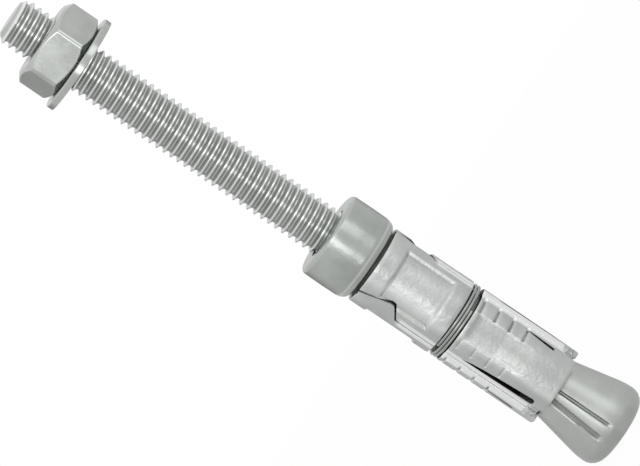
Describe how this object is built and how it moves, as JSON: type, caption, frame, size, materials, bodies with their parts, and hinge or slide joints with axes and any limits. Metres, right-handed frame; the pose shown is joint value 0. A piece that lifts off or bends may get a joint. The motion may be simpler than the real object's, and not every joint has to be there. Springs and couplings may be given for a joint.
{
  "type": "expansion bolt",
  "caption": "Zinc-plated expansion bolt: a nut on a threaded stud draws a cone into a split, toothed shield that spreads and grips the wall of a drilled hole.",
  "frame": {"origin": "centre of the cone's flat end, on which the bolt stands", "axes": "+Z along the stud from the cone to the tip, -Y towards the middle of the front segment"},
  "size_m": [0.0124, 0.0124, 0.0877],
  "materials": {
    "stud_zinc": "bright zinc plate on a rolled thread",
    "cone_zinc": "satin zinc plate on a formed cone",
    "ferrule_zinc": "satin zinc plate on a drawn cup",
    "shield_zinc": "satin zinc plate on pressed steel",
    "wire_steel": "drawn spring wire",
    "nut_zinc": "bright zinc plate"
  },
  "bodies": {
    "stud": {"stud": "stud_zinc", "cone_nut": "cone_zinc"},
    "ferrule": {"ferrule": "ferrule_zinc", "wire_ring": "wire_steel"},
    "segment_1": {"segment_1": "shield_zinc"},
    "segment_2": {"segment_2": "shield_zinc"},
    "segment_3": {"segment_3": "shield_zinc"},
    "washer": {"washer": "nut_zinc"},
    "hex_nut": {"hex_nut": "nut_zinc"}
  },
  "joints": [
    {"name": "shield_draw", "type": "slide", "parent": "stud", "child": "ferrule", "axis": [0, 0, -1], "range_m": [0, 0.0048]},
    {"name": "segment_1_swing", "type": "hinge", "parent": "ferrule", "child": "segment_1", "pos_m": [0, -0.00376, 0.04145], "axis": [-1, 0, 0], "range_deg": [0, 1.77]},
    {"name": "segment_2_swing", "type": "hinge", "parent": "ferrule", "child": "segment_2", "pos_m": [0.00326, 0.00188, 0.04145], "axis": [0.5, -0.866, 0], "range_deg": [0, 1.77]},
    {"name": "segment_3_swing", "type": "hinge", "parent": "ferrule", "child": "segment_3", "pos_m": [-0.00326, 0.00188, 0.04145], "axis": [0.5, 0.866, 0], "range_deg": [0, 1.77]},
    {"name": "washer_slide", "type": "slide", "parent": "stud", "child": "washer", "axis": [0, 0, 1], "range_m": [-0.0345, 0.004]},
    {"name": "nut_turn", "type": "hinge", "parent": "washer", "child": "hex_nut", "pos_m": [0, 0, 0.08082], "axis": [0, 0, 1], "range_deg": [-12421, 1441]}
  ],
  "couplings": [
    {"joint": "segment_1_swing", "follows": "shield_draw", "rad_per_m": 6.383},
    {"joint": "segment_2_swing", "follows": "shield_draw", "rad_per_m": 6.383},
    {"joint": "segment_3_swing", "follows": "shield_draw", "rad_per_m": 6.383},
    {"joint": "nut_turn", "follows": "washer_slide", "rad_per_m": 6283.2}
  ]
}
